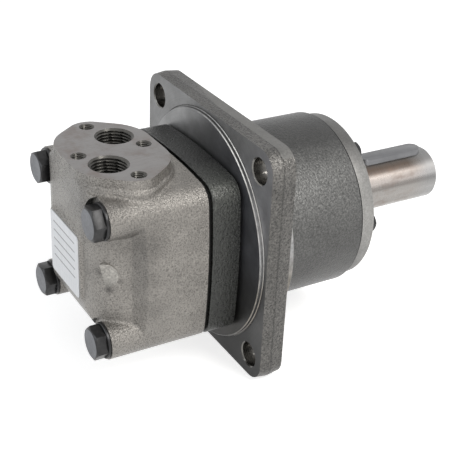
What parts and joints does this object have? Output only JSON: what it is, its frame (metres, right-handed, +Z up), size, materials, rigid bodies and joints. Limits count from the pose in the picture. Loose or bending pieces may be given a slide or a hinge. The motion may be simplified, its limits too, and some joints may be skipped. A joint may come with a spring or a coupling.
{
  "type": "hydraulic wheel motor",
  "caption": "Orbital hydraulic wheel motor with a square flange, round nose, keyed shaft and threaded ports on a raised pad.",
  "frame": {"origin": "on the shaft axis, at the square flange's rear mounting face", "axes": "+Y along the shaft to its free end, +Z up, out of the port face, +X to the right seen from the rear"},
  "size_m": [0.14, 0.2457, 0.14],
  "materials": {
    "flange_casting": "cast grey iron, machined faces",
    "rear_casting": "rough cast grey iron",
    "ring_casting": "dark fine cast iron",
    "cover_steel": "turned satin",
    "black_oxide": "black oxide",
    "shaft_steel": "ground",
    "key_steel": "satin",
    "inner_steel": "ground",
    "cage_bronze": "satin bronze",
    "seal_rubber": "matt",
    "plate_aluminium": "satin, blank"
  },
  "bodies": {
    "housing": {"front_bearing_cup": "inner_steel", "rear_bearing_cup": "inner_steel", "wear_plate": "inner_steel", "valve_plate": "inner_steel", "balance_plate": "inner_steel", "balance_springs": "inner_steel", "check_spring_a": "inner_steel", "check_spring_b": "inner_steel", "alignment_pin": "inner_steel", "front_housing": "flange_casting", "valve_housing": "rear_casting", "gerolor_ring": "ring_casting", "front_cover": "cover_steel", "cover_screws": "black_oxide", "through_bolts": "black_oxide", "bolt_washers": "black_oxide", "check_plugs": "black_oxide", "drain_plug": "black_oxide", "cover_o_ring": "seal_rubber", "dust_seal": "seal_rubber", "shaft_seal": "seal_rubber", "front_body_o_ring": "seal_rubber", "rear_body_o_ring": "seal_rubber", "balance_outer_seal": "seal_rubber", "balance_inner_seal": "seal_rubber", "drain_plug_seal": "seal_rubber", "name_plate": "plate_aluminium"},
    "shaft": {"output_shaft": "shaft_steel", "shaft_key": "key_steel", "front_bearing_cone": "inner_steel", "rear_bearing_cone": "inner_steel", "bearing_lock_nut": "black_oxide", "lock_washer": "inner_steel"},
    "orbit": {"thrust_washer": "cage_bronze"},
    "link": {"drive_link": "inner_steel"},
    "star": {"gerolor_star": "inner_steel"},
    "valve_link": {"valve_drive_link": "inner_steel"},
    "valve": {"disc_valve": "cage_bronze"},
    "front_rollers": {"front_bearing_rollers": "inner_steel", "front_bearing_cage": "cage_bronze"},
    "rear_rollers": {"rear_bearing_rollers": "inner_steel", "rear_bearing_cage": "cage_bronze"},
    "ball_a": {"check_ball_a": "inner_steel"},
    "ball_b": {"check_ball_b": "inner_steel"},
    "roller_1": {"gerolor_roller_1": "inner_steel"},
    "roller_2": {"gerolor_roller_2": "inner_steel"},
    "roller_3": {"gerolor_roller_3": "inner_steel"},
    "roller_4": {"gerolor_roller_4": "inner_steel"},
    "roller_5": {"gerolor_roller_5": "inner_steel"},
    "roller_6": {"gerolor_roller_6": "inner_steel"},
    "roller_7": {"gerolor_roller_7": "inner_steel"}
  },
  "joints": [
    {"name": "shaft_spin", "type": "hinge", "parent": "housing", "child": "shaft", "pos_m": [0, 0.1, 0], "axis": [0, 1, 0], "continuous": true},
    {"name": "orbit_spin", "type": "hinge", "parent": "housing", "child": "orbit", "pos_m": [0, 0.045, 0], "axis": [0, 1, 0], "continuous": true},
    {"name": "link_spin", "type": "hinge", "parent": "orbit", "child": "link", "pos_m": [0.003, -0.008, 0], "axis": [-0.0748, 0.9972, 0], "continuous": true},
    {"name": "star_spin", "type": "hinge", "parent": "orbit", "child": "star", "pos_m": [0.003, -0.0121, 0], "axis": [0, 1, 0], "continuous": true},
    {"name": "valve_link_spin", "type": "hinge", "parent": "orbit", "child": "valve_link", "pos_m": [0.003, -0.0179, 0], "axis": [0.1382, 0.9904, 0], "continuous": true},
    {"name": "valve_spin", "type": "hinge", "parent": "housing", "child": "valve", "pos_m": [0, -0.0394, 0], "axis": [0, 1, 0], "continuous": true},
    {"name": "front_cage_spin", "type": "hinge", "parent": "housing", "child": "front_rollers", "pos_m": [0, 0.0545, 0], "axis": [0, 1, 0], "continuous": true},
    {"name": "rear_cage_spin", "type": "hinge", "parent": "housing", "child": "rear_rollers", "pos_m": [0, 0.0235, 0], "axis": [0, 1, 0], "continuous": true},
    {"name": "roller_1_spin", "type": "hinge", "parent": "housing", "child": "roller_1", "pos_m": [0.0325, -0.0121, 0], "axis": [0, 1, 0], "continuous": true},
    {"name": "roller_2_spin", "type": "hinge", "parent": "housing", "child": "roller_2", "pos_m": [0.02026, -0.0121, 0.02541], "axis": [0, 1, 0], "continuous": true},
    {"name": "roller_3_spin", "type": "hinge", "parent": "housing", "child": "roller_3", "pos_m": [-0.00723, -0.0121, 0.03169], "axis": [0, 1, 0], "continuous": true},
    {"name": "roller_4_spin", "type": "hinge", "parent": "housing", "child": "roller_4", "pos_m": [-0.02928, -0.0121, 0.0141], "axis": [0, 1, 0], "continuous": true},
    {"name": "roller_5_spin", "type": "hinge", "parent": "housing", "child": "roller_5", "pos_m": [-0.02928, -0.0121, -0.0141], "axis": [0, 1, 0], "continuous": true},
    {"name": "roller_6_spin", "type": "hinge", "parent": "housing", "child": "roller_6", "pos_m": [-0.00723, -0.0121, -0.03169], "axis": [0, 1, 0], "continuous": true},
    {"name": "roller_7_spin", "type": "hinge", "parent": "housing", "child": "roller_7", "pos_m": [0.02026, -0.0121, -0.02541], "axis": [0, 1, 0], "continuous": true},
    {"name": "check_a_lift", "type": "slide", "parent": "housing", "child": "ball_a", "axis": [0, 0, -1], "range_m": [0, 0.0012], "stiffness_N_per_m": 400, "springref_m": -0.0005, "deforming": ["check_spring_a"]},
    {"name": "check_b_lift", "type": "slide", "parent": "housing", "child": "ball_b", "axis": [0, 0, -1], "range_m": [0, 0.0012], "stiffness_N_per_m": 400, "springref_m": -0.0005, "deforming": ["check_spring_b"]}
  ],
  "couplings": [
    {"joint": "orbit_spin", "follows": "shaft_spin", "ratio": -6},
    {"joint": "link_spin", "follows": "shaft_spin", "ratio": 7},
    {"joint": "star_spin", "follows": "shaft_spin", "ratio": 7},
    {"joint": "valve_link_spin", "follows": "shaft_spin", "ratio": 7},
    {"joint": "valve_spin", "follows": "shaft_spin", "ratio": 1},
    {"joint": "front_cage_spin", "follows": "shaft_spin", "ratio": 0.44226},
    {"joint": "rear_cage_spin", "follows": "shaft_spin", "ratio": 0.44226},
    {"joint": "roller_1_spin", "follows": "shaft_spin", "ratio": -3.52},
    {"joint": "roller_2_spin", "follows": "shaft_spin", "ratio": -3.52},
    {"joint": "roller_3_spin", "follows": "shaft_spin", "ratio": -3.52},
    {"joint": "roller_4_spin", "follows": "shaft_spin", "ratio": -3.52},
    {"joint": "roller_5_spin", "follows": "shaft_spin", "ratio": -3.52},
    {"joint": "roller_6_spin", "follows": "shaft_spin", "ratio": -3.52},
    {"joint": "roller_7_spin", "follows": "shaft_spin", "ratio": -3.52}
  ]
}
